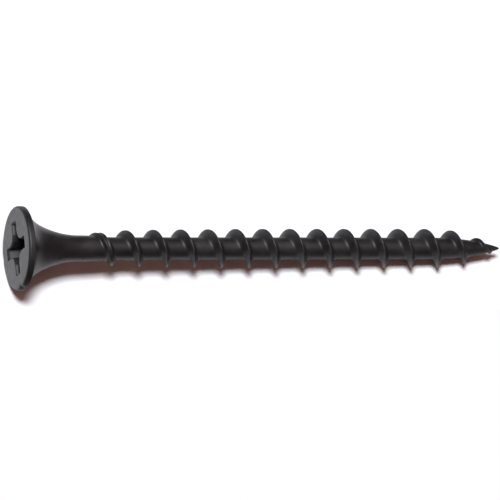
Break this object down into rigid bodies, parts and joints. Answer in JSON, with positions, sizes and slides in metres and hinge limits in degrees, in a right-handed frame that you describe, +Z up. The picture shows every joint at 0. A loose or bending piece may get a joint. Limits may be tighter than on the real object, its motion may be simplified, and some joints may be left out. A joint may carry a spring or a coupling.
{
  "type": "wood screw",
  "caption": "Wood screw: flat bugle head with a cross recess, coarse right-hand thread nearly to the head, sharp gimlet point, black phosphate finish.",
  "frame": {"origin": "centre of the flat of the head, on the screw's axis", "axes": "+X along the screw's axis from the head to the tip; the screw lies down, with +Z up"},
  "size_m": [0.0508, 0.0082, 0.0082],
  "materials": {
    "phosphated_steel": "satin black phosphate on carbon steel"
  },
  "bodies": {
    "root": {"screw": "phosphated_steel"}
  },
  "joints": []
}
